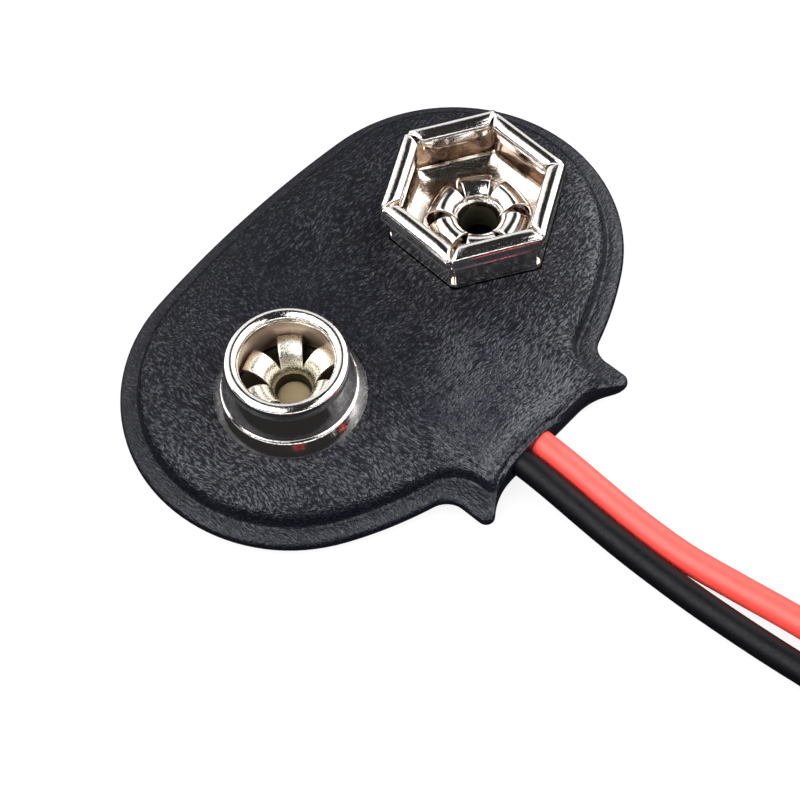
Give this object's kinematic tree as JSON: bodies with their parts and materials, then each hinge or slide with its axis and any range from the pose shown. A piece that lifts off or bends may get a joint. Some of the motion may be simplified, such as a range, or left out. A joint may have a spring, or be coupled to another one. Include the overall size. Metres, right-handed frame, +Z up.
{
  "type": "battery snap",
  "caption": "Soft oval snap for a block battery: a rolled stud and a six-sided spring socket riveted through a vinyl cover, with a red and a black lead leaving by a horned tab.",
  "frame": {"origin": "centre of the body's footprint, on the floor under the back panel; the leads and their coil aren't counted", "axes": "+X from the stud to the socket, -Y the way the leads leave, +Z up, out of the contacts"},
  "size_m": [0.0299, 0.0532, 0.0055],
  "materials": {
    "cover": "soft black vinyl with a fine leather grain",
    "board": "plain brown fibre board",
    "nickel": "bright nickel plate",
    "solder": "dull solder with a little flux",
    "core": "stranded conductor",
    "lead_black": "satin black insulation",
    "lead_red": "satin red insulation",
    "tie": "plain white twist tie",
    "tinned": "tinned strand"
  },
  "bodies": {
    "root": {"top_cover": "cover", "back_cover": "cover", "contact_board": "board", "stud_contact": "nickel", "socket_contact": "nickel", "stud_eyelet": "nickel", "socket_eyelet": "nickel", "stud_solder": "solder", "socket_solder": "solder", "black_core": "core", "red_core": "core", "black_lead": "lead_black", "red_lead": "lead_red", "lead_coil": "lead_black", "coil_tie": "tie", "black_tip": "tinned", "red_tip": "tinned"}
  },
  "joints": []
}
